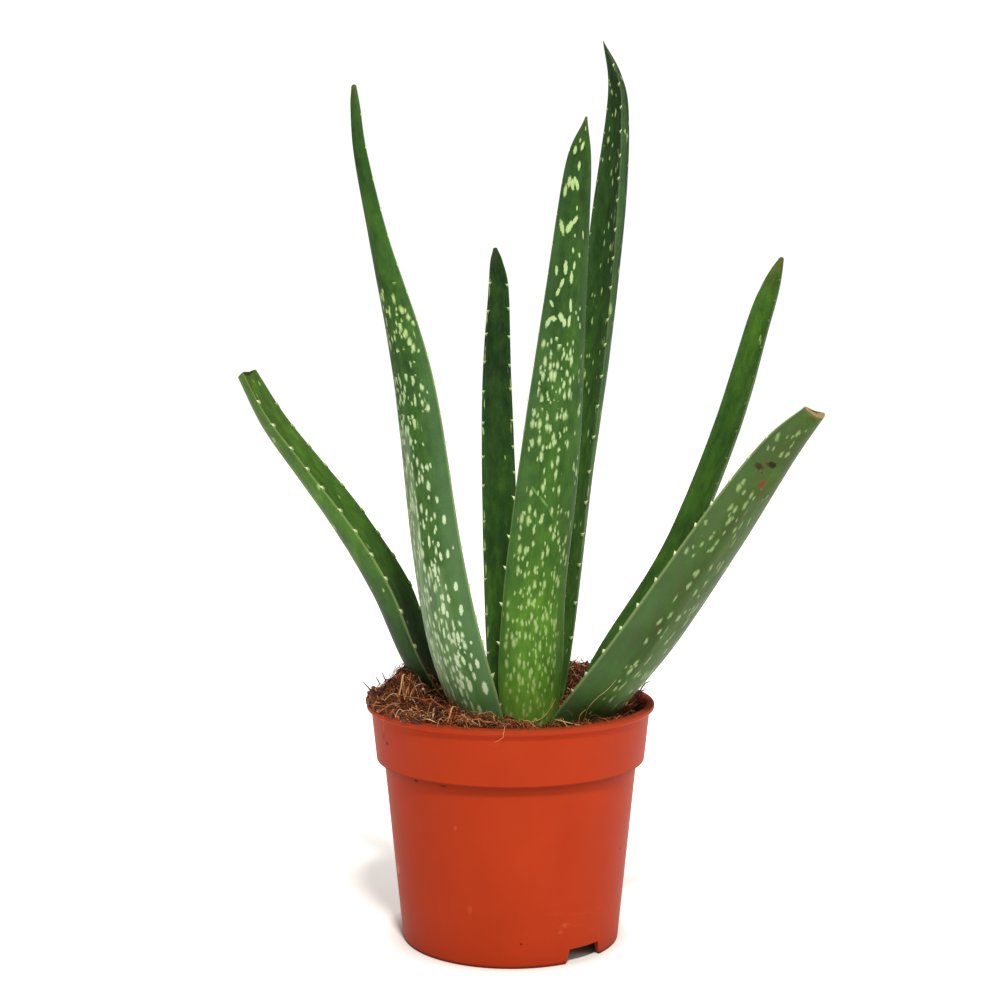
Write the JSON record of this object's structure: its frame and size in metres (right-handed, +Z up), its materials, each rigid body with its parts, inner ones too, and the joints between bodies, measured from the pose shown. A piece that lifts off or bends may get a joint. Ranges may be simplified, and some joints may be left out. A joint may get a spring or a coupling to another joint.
{
  "type": "potted aloe plant",
  "caption": "Aloe with thick pointed leaves with toothed margins and pale spots, in coir soil in a round collared plastic nursery pot.",
  "frame": {"origin": "centre of the pot's foot, on the surface that it stands on", "axes": "+Z up, -Y towards the viewer of the picture, +X to the viewer's right"},
  "size_m": [0.236, 0.1643, 0.3821],
  "materials": {
    "pot_plastic": "satin",
    "coir_soil": "matte",
    "stem_flesh": "matte",
    "leaf_skin": "satin"
  },
  "bodies": {
    "root": {"pot": "pot_plastic", "soil": "coir_soil", "stem": "stem_flesh", "leaf_low_left": "leaf_skin", "leaf_tall_left": "leaf_skin", "leaf_inner_short": "leaf_skin", "leaf_front": "leaf_skin", "leaf_tall_back": "leaf_skin", "leaf_right_back": "leaf_skin", "leaf_right_front": "leaf_skin"}
  },
  "joints": []
}
